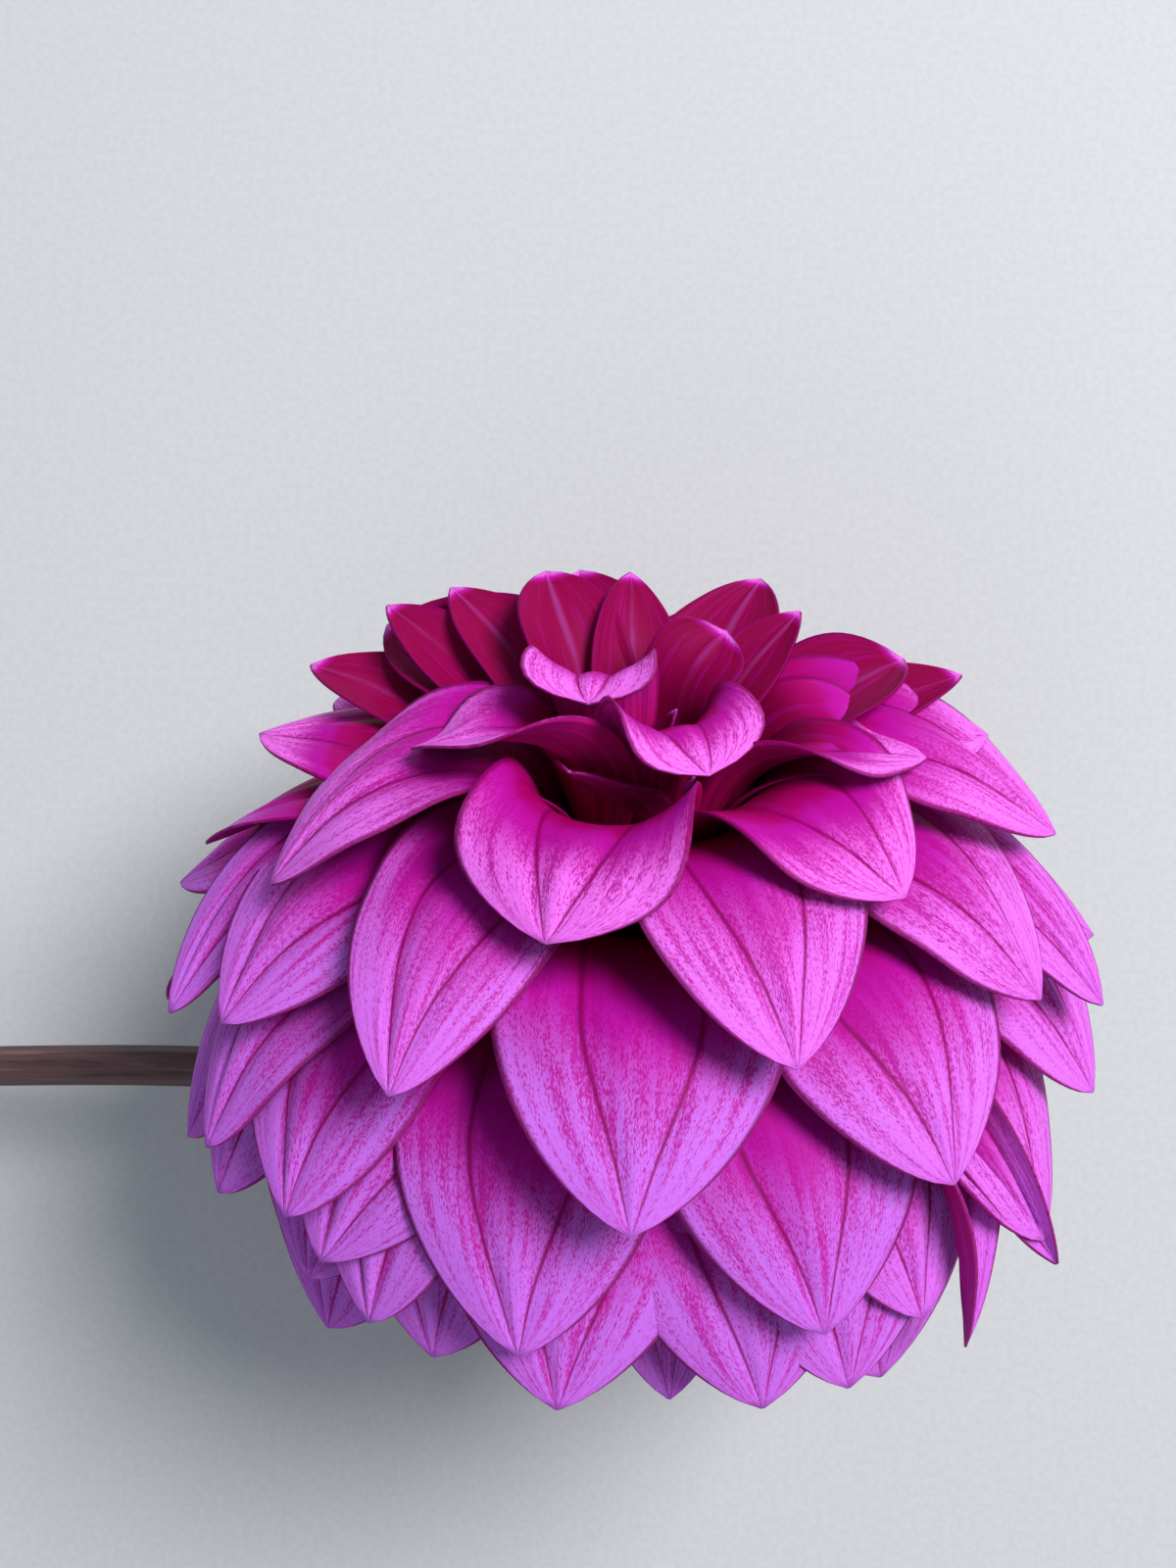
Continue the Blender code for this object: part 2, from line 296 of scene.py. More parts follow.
        # The section is an arc, and past the fold it also wraps round the bloom
        wrap = blend(0, 1, (along - self.fold) / 0.2)
        curl = self.curl(along) - 0.8 * wrap * half / BLOOM_RADIUS
        curl = np.where(np.abs(curl) < FLATTEST, FLATTEST, curl)
        sideways = half * np.sin(across * curl) / curl
        lift = half * (1 - np.cos(across * curl)) / curl
        lift = lift + self.relief(across, along, look)
        turn_section = np.radians(self.twist) * along**2
        sideways, lift = (
            sideways * np.cos(turn_section) - lift * np.sin(turn_section),
            sideways * np.sin(turn_section) + lift * np.cos(turn_section),
        )
        r = r + normal_r * lift
        h = h + normal_h * lift
        turn = np.radians(self.azimuth + self.sway * (along**2 - 1))
        x = r * np.sin(turn) + sideways * np.cos(turn) + self.lean * h / BLOOM_DEPTH
        y = r * np.cos(turn) - sideways * np.sin(turn)
        return np.stack([x * BROADER, y, h], axis=1)

    def relief(self, across, along, look):
        """Three soft lobes between two grooves, and a slight wave along the margins."""
        off = (np.abs(across) - vein_place(along)) / 0.11
        show = blend(0, 1, (along - self.opening + 0.15) / 0.25) * blend(0, 1, (1.02 - along) / 0.12)
        groove = -look.groove * np.exp(-off * off) * show
        swell = 0.6 * look.groove * np.cos(np.clip(across / vein_place(along), -1, 1) * math.pi / 2) * show
        side = self.seed * 1.7
        wave = np.sin(along * 9 + side) * np.sign(across) + 0.6 * np.sin(along * 17 + 2.1 * side)
        ruffle = look.ruffle * wave * np.abs(across) ** 3 * blend(0, 1, (along - 0.4) / 0.3)
        ruffle = ruffle * blend(0, 1, (1 - along) / 0.15)
        return groove + swell + ruffle


def vein_place(along):
    """How far from the middle the two main veins run, as a share of the half width."""
    return blend(0.40, 0.14, (along - 0.62) / 0.42)


class Shader:
    """Adds nodes to one material, and links them as they are made."""

    def __init__(self, name):
        self.material = bpy.data.materials.new(name)
        self.material.use_nodes = True
        self.tree = self.material.node_tree
        self.surface = self.tree.nodes["Principled BSDF"]

    def node(self, kind, **settings):
        made = self.tree.nodes.new(kind)
        for key, value in settings.items():
            setattr(made, key, value)
        return made

    def feed(self, socket, value):
        if isinstance(value, bpy.types.NodeSocket):
            self.tree.links.new(value, socket)
        elif isinstance(value, (tuple, list)) and len(value) == 3 and socket.type == "RGBA":
            socket.default_value = (*value, 1)
        else:
            socket.default_value = value

    def math(self, operation, a, b=0.0):
        made = self.node("ShaderNodeMath", operation=operation)
        self.feed(made.inputs[0], a)
        self.feed(made.inputs[1], b)
        return made.outputs[0]

    def plus(self, a, b):
        return self.math("ADD", a, b)

    def minus(self, a, b):
        return self.math("SUBTRACT", a, b)

    def times(self, a, b):
        return self.math("MULTIPLY", a, b)

    def mix(self, share, a, b, way="MIX"):
        made = self.node("ShaderNodeMix", data_type="RGBA", blend_type=way)
        self.feed(made.inputs[0], share)
        self.feed(made.inputs[6], a)
        self.feed(made.inputs[7], b)
        return made.outputs[2]

    def ramp(self, share, stops):
        """Colour stops, or grey levels, by place."""
        made = self.node("ShaderNodeValToRGB")
        made.color_ramp.interpolation = "EASE"
        elements = made.color_ramp.elements
        while len(elements) < len(stops):
            elements.new(0.5)
        for element, (place, value) in zip(elements, stops):
            element.position = place
            colour = value if isinstance(value, tuple) else (value, value, value)
            element.color = (*colour, 1)
        self.feed(made.inputs[0], share)
        return made.outputs[0]

    def spread(self, value, low, high, to_low=0.0, to_high=1.0):
        """Value from low to high, stretched to to_low and to_high and held there."""
        made = self.node("ShaderNodeMapRange", interpolation_type="SMOOTHSTEP")
        for socket, entry in zip(made.inputs, (value, low, high, to_low, to_high)):
            self.feed(socket, entry)
        return made.outputs[0]

    def vector(self, x, y, z):
        made = self.node("ShaderNodeCombineXYZ")
        for socket, entry in zip(made.inputs, (x, y, z)):
            self.feed(socket, entry)
        return made.outputs[0]

    def noise(self, vector, scale, detail=2.0, roughness=0.5):
        made = self.node("ShaderNodeTexNoise")
        self.feed(made.inputs["Vector"], vector)
        self.feed(made.inputs["Scale"], scale)
        self.feed(made.inputs["Detail"], detail)
        self.feed(made.inputs["Roughness"], roughness)
        return made.outputs["Fac"]

    def parts(self, vector):
        made = self.node("ShaderNodeSeparateXYZ")
        self.feed(made.inputs[0], vector)
        return made.outputs[0], made.outputs[1], made.outputs[2]

    def bump(self, height, strength, distance):
        made = self.node("ShaderNodeBump")
        self.feed(made.inputs["Strength"], strength)
        self.feed(made.inputs["Distance"], distance)
        self.feed(made.inputs["Height"], height)
        return made.outputs[0]

    def set(self, **values):
        """Sets the surface's sockets: base_color=..., roughness=... and so on."""
        names = {socket.name.lower().replace(" ", "_"): socket for socket in self.surface.inputs}
        for key, value in values.items():
            self.feed(names[key], value)


def petal_coordinates(shader):
    """Signed share across, distance from the middle (1 at the margin), and share along."""
    across, along, _ = shader.parts(shader.node("ShaderNodeUVMap", uv_map="UVMap").outputs[0])
    signed = shader.times(shader.minus(across, 0.5), 2.0)
    return signed, shader.math("ABSOLUTE", signed), along


def attribute(shader, name):
    """One of the values that petal_piece writes on every point."""
    return shader.node("ShaderNodeAttribute", attribute_name=name).outputs["Fac"]


def vein_line(shader, out, along, width):
    """1 on the two main veins and 0 away from them."""
    place = shader.spread(along, 0.62, 1.04, 0.40, 0.14)
    off = shader.math("ABSOLUTE", shader.minus(out, place))
    return shader.spread(off, 0.0, width, 1.0, 0.0)


def streaks(shader, signed, along, fine, long, detail=3.0):
    """Noise drawn out along the petal, different on each."""
    own = shader.times(attribute(shader, "petal_number"), 3.7)
    place = shader.vector(shader.times(signed, fine), shader.times(along, long), own)
    return shader.noise(place, 1.0, detail, 0.6)


def petal_face(look):
    """The upper face: crimson in the throat, partly its own colour and partly painted shade, lilac on the
    blade, speckled, veined and edged, with a painted highlight down the middle of an upright petal.
    """
    shader = Shader("petal_face")
    signed, out, along = petal_coordinates(shader)
    # opening here is where the crimson ends, pushed further out on the petals to the left and at the back,
    # partly as painted shade
    opening = attribute(shader, "petal_opening")
    tone = attribute(shader, "petal_tone")
    # Crimson in the channel, paler past the opening and towards the margins, in soft clouds; the crimson deep
    # in the channel and down its middle is partly the petal's own colour and partly painted shade
    cloud = streaks(shader, signed, along, 2.6, 3.0)
    past = shader.math("DIVIDE", shader.minus(along, opening), shader.minus(1.0, opening))
    past = shader.plus(past, shader.times(shader.minus(cloud, 0.5), 0.5))
    past = shader.plus(past, shader.times(shader.times(out, out), 0.28))
    place = shader.plus(shader.times(past, 0.7), 0.3)
    deep, middle, flush = tuple(look.throat), tuple(look.middle), tuple(look.flush)
    pink = shader.ramp(place, ((0.08, deep), (0.30, middle), (0.44, flush), (0.78, tuple(look.pink))))
    lilac = shader.ramp(place, ((0.08, deep), (0.34, middle), (0.50, flush), (0.86, tuple(look.lilac))))
    base = shader.mix(tone, pink, lilac)
    # Fine dots, denser in streaks, beside the veins and at the foot of the blade
    speck = streaks(shader, signed, along, 110.0, 120.0, 1.0)
    brush = streaks(shader, signed, along, 14.0, 4.0)
    near_vein = vein_line(shader, out, along, 0.16)
    density = shader.plus(shader.times(brush, 0.75), shader.times(near_vein, 0.07))
    density = shader.plus(density, shader.spread(past, 0.1, 1.1, 0.12, 0.0))
    dots = shader.spread(shader.plus(speck, density), 0.90, 1.06)
    dots = shader.times(dots, shader.spread(past, 0.0, 0.3, 0.0, 0.85))
    base = shader.mix(dots, base, tuple(look.speckle))
    soft = shader.spread(brush, 0.50, 0.70)
    base = shader.mix(shader.times(soft, 0.28), base, flush)
    # A painted highlight down the middle of an upright petal: a pale line that stands for the sheen along its
    # fold
    fold_highlight = shader.times(shader.spread(out, 0.01, 0.11, 1.0, 0.0), attribute(shader, "petal_streak"))
    fold_highlight = shader.times(fold_highlight, shader.spread(along, 0.35, 0.6))
    fold_highlight = shader.times(fold_highlight, shader.spread(cloud, 0.35, 0.65, 0.0, 0.18))
    base = shader.mix(fold_highlight, base, tuple(look.lilac))
    # Dark veins and margins, and ribs too fine to model
    vein = shader.times(vein_line(shader, out, along, 0.040), shader.spread(past, -0.4, 0.0))
    base = shader.mix(shader.times(vein, 0.92), base, tuple(look.vein))
    edge = shader.spread(out, 0.93, 0.98)
    base = shader.mix(shader.times(edge, 0.85), base, tuple(look.vein))
    ribs = streaks(shader, signed, along, 30.0, 2.0)
    shader.set(
        base_color=base,
        roughness=shader.spread(ribs, 0.3, 0.7, 0.46, 0.60),
        specular_ior_level=0.05,
        subsurface_weight=0.1,
        subsurface_radius=(0.9, 0.25, 0.6),
        subsurface_scale=1.0 * MM,
        normal=shader.bump(ribs, 0.30, 0.22 * MM),
    )
    return shader.material


def petal_reverse(look):
    """The under face: crimson at the claw and deep magenta above, with fine nerves."""
    shader = Shader("petal_reverse")
    signed, _, along = petal_coordinates(shader)
    fine = streaks(shader, signed, along, 18.0, 2.0)
    stops = ((0.15, tuple(look.claw)), (0.55, tuple(look.reverse)), (0.95, tuple(look.reverse_tip)))
    base = shader.ramp(along, stops)
    shade = shader.spread(fine, 0.35, 0.65, 0.72, 1.15)
    base = shader.mix(1.0, base, shade, "MULTIPLY")
    shader.set(
        base_color=base,
        roughness=shader.spread(fine, 0.3, 0.7, 0.40, 0.52),
        specular_ior_level=0.12,
        subsurface_weight=0.08,
        subsurface_radius=(0.9, 0.2, 0.5),
        subsurface_scale=1.0 * MM,
        normal=shader.bump(fine, 0.25, 0.2 * MM),
    )
    return shader.material


def stem_skin(look):
    """The stem's skin: brown purple, ribbed, with paler flecks along the ribs."""
    shader = Shader("stem_skin")
    signed, _, along = petal_coordinates(shader)
    turn = shader.times(signed, math.pi)
    ring = shader.vector(
        shader.times(shader.math("SINE", turn), 2.2),
        shader.times(shader.math("COSINE", turn), 2.2),
        shader.times(along, 14.0),
    )
    mottle = shader.noise(ring, 1.0, 4.0, 0.6)
    fibre = shader.noise(
        shader.vector(
            shader.times(shader.math("SINE", turn), 12.0),
            shader.times(shader.math("COSINE", turn), 12.0),
            shader.times(along, 10.0),
        ),
        1.0,
        3.0,
    )
    stops = ((0.30, tuple(look.dark)), (0.55, tuple(look.brown)), (0.78, tuple(look.fleck)))
    base = shader.ramp(mottle, stops)
    base = shader.mix(shader.spread(fibre, 0.55, 0.75, 0.0, 0.5), base, tuple(look.fleck))
    shader.set(
        base_color=base,
        roughness=shader.spread(mottle, 0.3, 0.7, 0.42, 0.62),
        specular_ior_level=0.4,
        normal=shader.bump(fibre, 0.5, 0.25 * MM),
    )
    return shader.material


def cut_pith(look):
    """The cut end: pale green pith round a hollow that darkens inwards."""
    shader = Shader("cut_pith")
    grain = shader.noise(shader.node("ShaderNodeTexCoord").outputs["Object"], 1800.0, 3.0)
    base = shader.ramp(grain, ((0.35, tuple(look.pith_dark)), (0.65, tuple(look.pith))))
    shader.set(base_color=base, roughness=0.6, normal=shader.bump(grain, 0.5, 0.2 * MM))
    return shader.material


def leaf_green(look):
    """Bracts and receptacle: green, veined along their length, browner at the tips."""
    shader = Shader("leaf_green")
    signed, out, along = petal_coordinates(shader)
    nerve = shader.noise(
        shader.vector(shader.times(signed, 9.0), shader.times(along, 1.6), 0.0), 1.0, 3.0
    )
    blotch = shader.noise(shader.node("ShaderNodeTexCoord").outputs["Object"], 260.0, 3.0)
    base = shader.ramp(blotch, ((0.3, tuple(look.green_dark)), (0.7, tuple(look.green))))
    base = shader.mix(shader.spread(nerve, 0.5, 0.68, 0.0, 0.5), base, tuple(look.green_pale))
    middle = shader.spread(out, 0.0, 0.06, 0.7, 0.0)
    base = shader.mix(middle, base, tuple(look.green_pale))
    base = shader.mix(shader.spread(along, 0.8, 1.0, 0.0, 0.6), base, tuple(look.blush))
    shader.set(
        base_color=base,
        roughness=shader.spread(blotch, 0.3, 0.7, 0.4, 0.55),
        specular_ior_level=0.4,
        subsurface_weight=0.08,
        subsurface_scale=1.0 * MM,
        normal=shader.bump(nerve, 0.5, 0.3 * MM),
    )
    return shader.material


def shared(name, maker, *settings):
    """The material of that name, made by maker the first time."""
    found = bpy.data.materials.get(name)
    return found if found else maker(*settings)


def length(name, description, millimetres):
    """A length setting, given in millimetres and held in metres."""
    return FloatProperty(name=name, description=description, default=millimetres * MM, unit="LENGTH")


def colour(name, description, red, green, blue):
    """A colour setting."""
    return FloatVectorProperty(
        name=name, description=description, default=(red, green, blue), subtype="COLOR", min=0, max=1
    )


class DahliaPetalSettings(PropertyGroup):
    """Sizes and colours of the petals"""

    width: length("Blade width", "Widest part of an outer petal", 33)
    inner_width: length("Inner width", "Widest part of the innermost petal", 17)
    claw_width: length("Claw width", "Width where a petal joins the receptacle", 2.6)
    thickness: length("Thickness", "Thickness of a petal", 0.35)
    groove: length("Groove", "Depth of the two main veins", 0.55)
    ruffle: length("Ruffle", "Height of the waves along the margins", 0.40)
    across: IntProperty(name="Across", description="Faces from margin to margin", default=26, min=4)
    along: IntProperty(name="Along", description="Faces from claw to tip", default=52, min=8)
    # Throat and Middle are partly the petals' own crimson and partly painted shade deep in the channel
    throat: colour("Throat", "Colour deep in the channel", 0.26, 0.0005, 0.060)
    middle: colour("Middle", "Colour where the channel opens", 0.38, 0.0006, 0.135)
    flush: colour("Flush", "Colour at the foot of the blade", 0.46, 0.006, 0.36)
    pink: colour("Pink", "Blade of an inner petal", 0.95, 0.18, 0.90)
    lilac: colour("Lilac", "Blade of an outer petal", 0.54, 0.15, 0.77)
    speckle: colour("Speckle", "Colour of the fine dots and streaks", 0.42, 0.002, 0.24)
    vein: colour("Vein", "Colour of the veins and margins", 0.23, 0.0005, 0.10)
    claw: colour("Claw", "Under face near the claw", 0.52, 0.0005, 0.07)
    reverse: colour("Reverse", "Under face", 0.48, 0.001, 0.12)
    reverse_tip: colour("Reverse tip", "Under face near the tip", 0.48, 0.010, 0.30)


def clean_selection():
    """Leaves edit mode and deselects everything."""
    if bpy.context.object and bpy.context.object.mode != "OBJECT":
        bpy.ops.object.mode_set(mode="OBJECT")
    bpy.ops.object.select_all(action="DESELECT")


def laid_grid(name, across, along, place):
    """A grid whose corners move to place(across, along), with -1 to 1 across and 0 to 1 along."""
    clean_selection()
    bpy.ops.mesh.primitive_grid_add(x_subdivisions=across, y_subdivisions=along, size=2, calc_uvs=True)
    piece = bpy.context.object
    piece.name = piece.data.name = name
    flat = np.empty(len(piece.data.vertices) * 3)
    piece.data.vertices.foreach_get("co", flat)
    flat = flat.reshape(-1, 3)
    places = place(flat[:, 0], (flat[:, 1] + 1) / 2)
    piece.data.vertices.foreach_set("co", np.ascontiguousarray(places).ravel())
    return piece


def close_up():
    """Merges the active piece's seam and the poles of a wrapped grid, and turns its faces outwards."""
    bpy.ops.object.mode_set(mode="EDIT")
    bpy.ops.mesh.select_all(action="SELECT")
    bpy.ops.mesh.remove_doubles(threshold=0.00001)
    bpy.ops.mesh.normals_make_consistent(inside=False)
    bpy.ops.object.mode_set(mode="OBJECT")


def thicken(piece, thickness, other_side=0):
    """Gives a sheet its thickness, half to each side. other_side counts on to its back's material."""
    wall = piece.modifiers.new("thickness", "SOLIDIFY")
    wall.thickness = thickness
    wall.offset = 0
    wall.material_offset = other_side
    wall.material_offset_rim = 0
    bpy.ops.object.modifier_apply(modifier=wall.name)


def write_attributes(piece, values):
    """Gives every point of the piece the same named values, for its material to read."""
    for key, value in values.items():
        layer = piece.data.attributes.new(key, "FLOAT", "POINT")
        layer.data.foreach_set("value", np.full(len(piece.data.vertices), value, dtype=float))


def finish_piece(piece, slot, *nodes):
    """Shades the piece smooth, and ties it to the frame."""
    bpy.ops.object.shade_smooth()
    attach(piece, "root")
    if nodes:
        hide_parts(*nodes)


def petal_piece(name, shape, look, *nodes):
    """A petal: a grid laid over the petal's surface, given its thickness, with its own two faces."""

    def place(across, along):
        places = in_world(shape.places(-across, along, look))
        places[:, 2] = np.maximum(places[:, 2], look.thickness * 0.6)
        return places

    piece = laid_grid(name, look.across, look.along, place)
    values = {
        "petal_number": shape.seed,
        "petal_tone": shape.tone,
        # the crimson length, stretched on the left and back petals partly as painted shade
        "petal_opening": shape.crimson_and_shade_end,
        # upright petals get a painted highlight down their middle
        "petal_streak": 1.0 if shape.kind == "upright" else 0.0,
    }
    write_attributes(piece, values)
    piece.data.materials.append(shared("petal_face", petal_face, look))
    piece.data.materials.append(shared("petal_reverse", petal_reverse, look))
    thicken(piece, look.thickness, other_side=1)
    finish_piece(piece, "petal", *nodes)


class DAHLIA_OT_petals(Operator):
    """Make the petals that stand for the frame's petals"""

    bl_idname = "dahlia.petals"
    bl_label = "Petals"

    def execute(self, context):
        for number, (polar, azimuth, changes) in enumerate(PETALS, 1):
            shape = PetalShape(polar, azimuth, number, changes)
            petal_piece(f"ray_petal_{number:02d}", shape, context.scene.dahlia_petals, f"petal_{number:02d}")
        return {"FINISHED"}


class DAHLIA_OT_more_petals(Operator):
    """Make the petals that fill the bloom between the frame's, the curled ones among them"""

    bl_idname = "dahlia.more_petals"
    bl_label = "Filling petals"

    def execute(self, context):
        for number, (polar, azimuth, changes) in enumerate(MORE_PETALS, 1):
            shape = PetalShape(polar, azimuth, len(PETALS) + number, changes)
            petal_piece(f"filling_petal_{number:02d}", shape, context.scene.dahlia_petals)
        return {"FINISHED"}


class DAHLIA_OT_florets(Operator):
    """Make the young florets, which stand rolled up round the bud"""

    bl_idname = "dahlia.florets"
    bl_label = "Young florets"

    def execute(self, context):
        for number in range(1, YOUNG_FLORETS + 1):
            azimuth = 360 * number / YOUNG_FLORETS + 11
            size = 0.62 + 0.12 * (number % 3)
            changes = {"reach": size, "kind": "upright", "width": 0.5 * size}
            changes |= {"turn": 24, "cup": 1.5, "root": 10}
            shape = PetalShape(5 + 4 * (number % 2), azimuth, 100 + number, changes)
            petal_piece(f"young_floret_{number}", shape, context.scene.dahlia_petals)
        return {"FINISHED"}


class DahliaCentreSettings(PropertyGroup):
    """The bud in the middle, the receptacle and the bracts behind it"""

    bud_radius: length("Bud radius", "Half the bud's width", 1.5)
    bud_length: length("Bud length", "Height of the bud above the receptacle", 8)
    cup_rim: length("Cup rim", "How far the inner bracts stand out past their foot", 5)
    bract_length: length("Bract length", "Length of an outer bract", 15)
    bract_width: length("Bract width", "Widest part of an outer bract", 6)
    bract_thickness: length("Bract thickness", "Thickness of an outer bract", 0.6)
    green: colour("Green", "Bracts, lighter patches", 0.13, 0.22, 0.045)
    green_dark: colour("Dark green", "Bracts, darker patches", 0.055, 0.11, 0.022)
    green_pale: colour("Pale green", "Nerves of the bracts", 0.30, 0.38, 0.14)
    blush: colour("Blush", "Tips of the bracts", 0.20, 0.045, 0.06)


def wrapped(radius, height, across):
    """World places of a shape turned about the bloom's axis."""
    turn = across * math.pi
    return in_world(np.stack([radius * np.sin(turn), radius * np.cos(turn), height], axis=1))


def receptacle_profile():
    """Radius and height from the dome's top to the foot, where the stem begins."""
    angles = np.radians(np.linspace(0, 96, 14))
    dome = [(RECEPTACLE_RADIUS * math.sin(a), RECEPTACLE_TOP * math.cos(a)) for a in angles]
    flank = ((0.86, 0.35), (0.60, 0.66), (0.40, 0.86))
    side = [(RECEPTACLE_RADIUS * r, RECEPTACLE_FOOT * h) for r, h in flank]
    return np.array(dome + side + [(STEM_RADIUS, RECEPTACLE_FOOT), (0, RECEPTACLE_FOOT)])


class DAHLIA_OT_receptacle(Operator):
    """Make the receptacle, which carries every petal"""

    bl_idname = "dahlia.receptacle"
    bl_label = "Receptacle"

    def execute(self, context):
        profile = receptacle_profile()
        stations = np.linspace(0, 1, len(profile))

        def place(across, along):
            radius = np.interp(along, stations, profile[:, 0])
            height = np.interp(along, stations, profile[:, 1])
            # Shallow pits in rows, where florets sit
            pits = np.cos(across * 17 * math.pi) * np.cos(along * 40 * math.pi)
            return wrapped(radius * (1 - 0.02 * (1 + pits) * np.sin(math.pi * along)), height, across)

        piece = laid_grid("receptacle_dome", 68, 64, place)
        close_up()
        piece.data.materials.append(shared("leaf_green", leaf_green, context.scene.dahlia_centre))
        finish_piece(piece, "green", "receptacle")
        return {"FINISHED"}


class DAHLIA_OT_bud(Operator):
    """Make the bud in the middle: tiny florets folded over each other"""

    bl_idname = "dahlia.bud"
    bl_label = "Bud"

    def execute(self, context):
        look = context.scene.dahlia_centre
        foot = RECEPTACLE_TOP - GAP
        tall = look.bud_length + 2 * GAP

        def place(across, along):
            scales = 0.5 + 0.5 * np.cos(across * 5 * math.pi + along * 9)
            crease = 0.78 + 0.22 * scales
            radius = look.bud_radius * 1.05 * np.sin(math.pi * along**0.8) ** 0.7 * crease
            return wrapped(radius, foot + tall * along, across)

        piece = laid_grid("bud_core", 60, 40, place)
        close_up()
        values = {"petal_number": 90, "petal_tone": 0.2, "petal_opening": 0.9, "petal_streak": 0}
        write_attributes(piece, values)
        piece.data.materials.append(shared("petal_face", petal_face, context.scene.dahlia_petals))
        finish_piece(piece, "bud", "center_bud")
        return {"FINISHED"}


class DAHLIA_OT_bract_cup(Operator):
    """Make the cup of eight thin inner bracts, joined at their base"""

    bl_idname = "dahlia.bract_cup"
    bl_label = "Inner bracts"

    def execute(self, context):
        look = context.scene.dahlia_centre
        off = GAP + 0.5 * MM
        flank = receptacle_profile()[-5:-2] + np.array([off, -0.4 * off])
        rim = flank[0] + np.array([look.cup_rim, 0.5 * MM])
        profile = np.vstack([flank[::-1], [rim]])
        stations = np.linspace(0, 1, len(profile))

        def place(across, along):
            lobe = np.abs(np.cos(across * 4 * math.pi)) ** 0.6
            along = along * (1 - 0.22 * (1 - lobe) * blend(0, 1, (along - 0.4) / 0.5))
            radius = np.interp(along, stations, profile[:, 0])
            height = np.interp(along, stations, profile[:, 1])
            crease = 0.25 * MM * (lobe - 0.5) * along
            return wrapped(radius + crease, height - crease, across)

        piece = laid_grid("inner_bracts", 96, 24, place)
        close_up()
        piece.data.materials.append(shared("leaf_green", leaf_green, look))
        thicken(piece, 0.4 * MM)
        finish_piece(piece, "green", "inner_bract_cup")
        return {"FINISHED"}


class DAHLIA_OT_outer_bracts(Operator):
    """Make the five small leaves behind the cup, turned a little backwards"""

    bl_idname = "dahlia.outer_bracts"
    bl_label = "Outer bracts"

    def execute(self, context):
        look = context.scene.dahlia_centre
        for index in range(5):
            turn = math.radians(360 * (index + 0.5) / 5)

            def place(across, along, turn=turn, index=index):
                width = look.bract_width * (0.35 + 0.65 * np.sin(math.pi * np.minimum(along + 0.1, 1) ** 0.9))
                width = width * blend(1, 0.25, (along - 0.86) / 0.14)
                out = STEM_RADIUS + 3.2 * GAP + look.bract_length * along
                keel = 0.5 * MM * (across**2 - 0.3) * np.sin(math.pi * along)
                nerves = 0.10 * MM * np.cos(across * 9) * np.sin(math.pi * along)
                wave = 0.35 * MM * np.sin(5 * along + 2 * index) * across**3
                height = RECEPTACLE_FOOT + 0.4 * MM - 3 * MM * along**2 + keel + nerves + wave
                side = across * width / 2
                x = out * math.sin(turn) + side * math.cos(turn)
                y = out * math.cos(turn) - side * math.sin(turn)
                return in_world(np.stack([x, y, height], axis=1))

            piece = laid_grid(f"outer_leaf_{index + 1}", 20, 32, place)
            close_up()
            piece.data.materials.append(shared("leaf_green", leaf_green, look))
            thicken(piece, look.bract_thickness)
            finish_piece(piece, "green", f"outer_bract_{index + 1}")
        return {"FINISHED"}


class DahliaStemSettings(PropertyGroup):
    """The stem"""

    radius: length("Radius", "Half the stem's thickness", 3.2)
    hollow: length("Hollow", "Radius of the hollow at the cut end", 1.7)
    hollow_depth: length("Hollow depth", "How deep the hollow can be seen", 9)
    rib: length("Rib", "Height of the shallow ribs", 0.10)
    ribs: IntProperty(name="Ribs", description="Ribs round the stem", default=9, min=0)
    brown: colour("Brown", "Main colour", 0.105, 0.052, 0.056)
    dark: colour("Dark", "Darker patches", 0.050, 0.022, 0.030)
    fleck: colour("Fleck", "Paler fibres", 0.21, 0.135, 0.11)
    pith: colour("Pith", "Cut end, pale", 0.50, 0.55, 0.30)
    pith_dark: colour("Dark pith", "Cut end, darker grain", 0.24, 0.28, 0.12)


def smooth_route(places, steps=40):
    """Points of the cubic curve that runs smoothly through the places, with how far along each is."""
    ahead = [b - a for a, b in zip(places, places[1:])]
    slopes = [ahead[0]]
    for before, after in zip(ahead, ahead[1:]):
        shorter = min(before.length, after.length)
        slopes.append((before.normalized() + after.normalized()) / 2 * shorter * 1.2)
    slopes.append(ahead[-1])
    fine = []
    for index in range(len(ahead)):
        for step in range(steps):
            t = step / steps
            fine.append(
                places[index] * (2 * t**3 - 3 * t**2 + 1)
                + slopes[index] * (t**3 - 2 * t**2 + t)
                + places[index + 1] * (3 * t**2 - 2 * t**3)
                + slopes[index + 1] * (t**3 - t**2)
            )
    fine = np.array(fine + [places[-1]])
    run = np.concatenate([[0], np.cumsum(np.linalg.norm(np.diff(fine, axis=0), axis=1))])
    return fine, run


def stem_route():
    """The stem's middle line, from the receptacle's foot to the cut end on the floor."""
    foot = RECEPTACLE_FOOT
    drop = foot - GAP - NECK_DROP
    bloom_places = ((0, 0, foot), (0, 0, drop), (-NECK_BEND, 0, drop - 0.8 * NECK_BEND))
    top, neck, turned_left = (Vector(in_world([place])[0]) for place in bloom_places)
    run = Vector((BLOOM_CENTRE.x + STEM_RUN[0], STEM_RUN[1], STEM_RUN[2]))
    end = Vector((BLOOM_CENTRE.x + STEM_END[0], STEM_END[1], STEM_RADIUS))
    return smooth_route([top, neck, turned_left, run, end])


